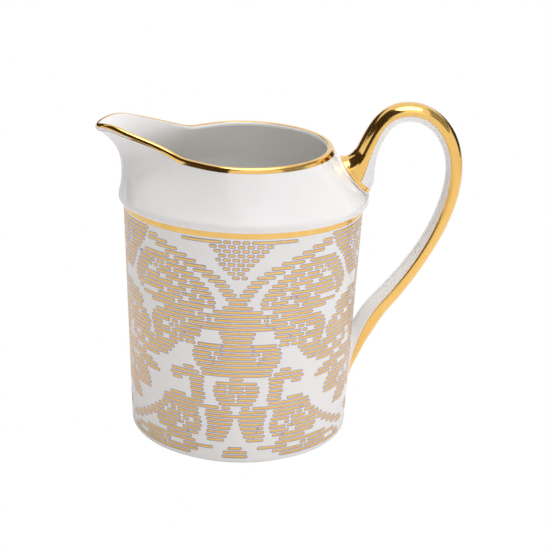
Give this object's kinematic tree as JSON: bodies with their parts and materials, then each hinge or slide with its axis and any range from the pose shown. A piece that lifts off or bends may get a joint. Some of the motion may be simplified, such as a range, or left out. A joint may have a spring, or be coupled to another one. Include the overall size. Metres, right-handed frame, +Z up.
{
  "type": "cream jug",
  "caption": "Small porcelain cream jug with a tapered wall, waisted shoulder, pulled spout, gilded rim and ear-shaped handle, and a striped gold print around the wall.",
  "frame": {"origin": "centre of the foot ring, on the surface that the jug stands on", "axes": "+X from the jug's axis to the handle (the spout points to -X), +Z up, Y = 0 is the plane of symmetry"},
  "size_m": [0.1124, 0.077, 0.1064],
  "materials": {
    "porcelain": "glossy",
    "biscuit": "matte",
    "slip": "glossy",
    "bright_gold": "polished",
    "satin_gold": "satin",
    "print": "satin"
  },
  "bodies": {
    "root": {"jug_body": "porcelain", "foot_ring": "biscuit", "handle": "porcelain", "upper_slip_joint": "slip", "lower_slip_joint": "slip", "rim_gilding": "bright_gold", "shoulder_gilding": "satin_gold", "handle_gilding": "bright_gold", "front_transfer": "print", "back_transfer": "print"}
  },
  "joints": []
}
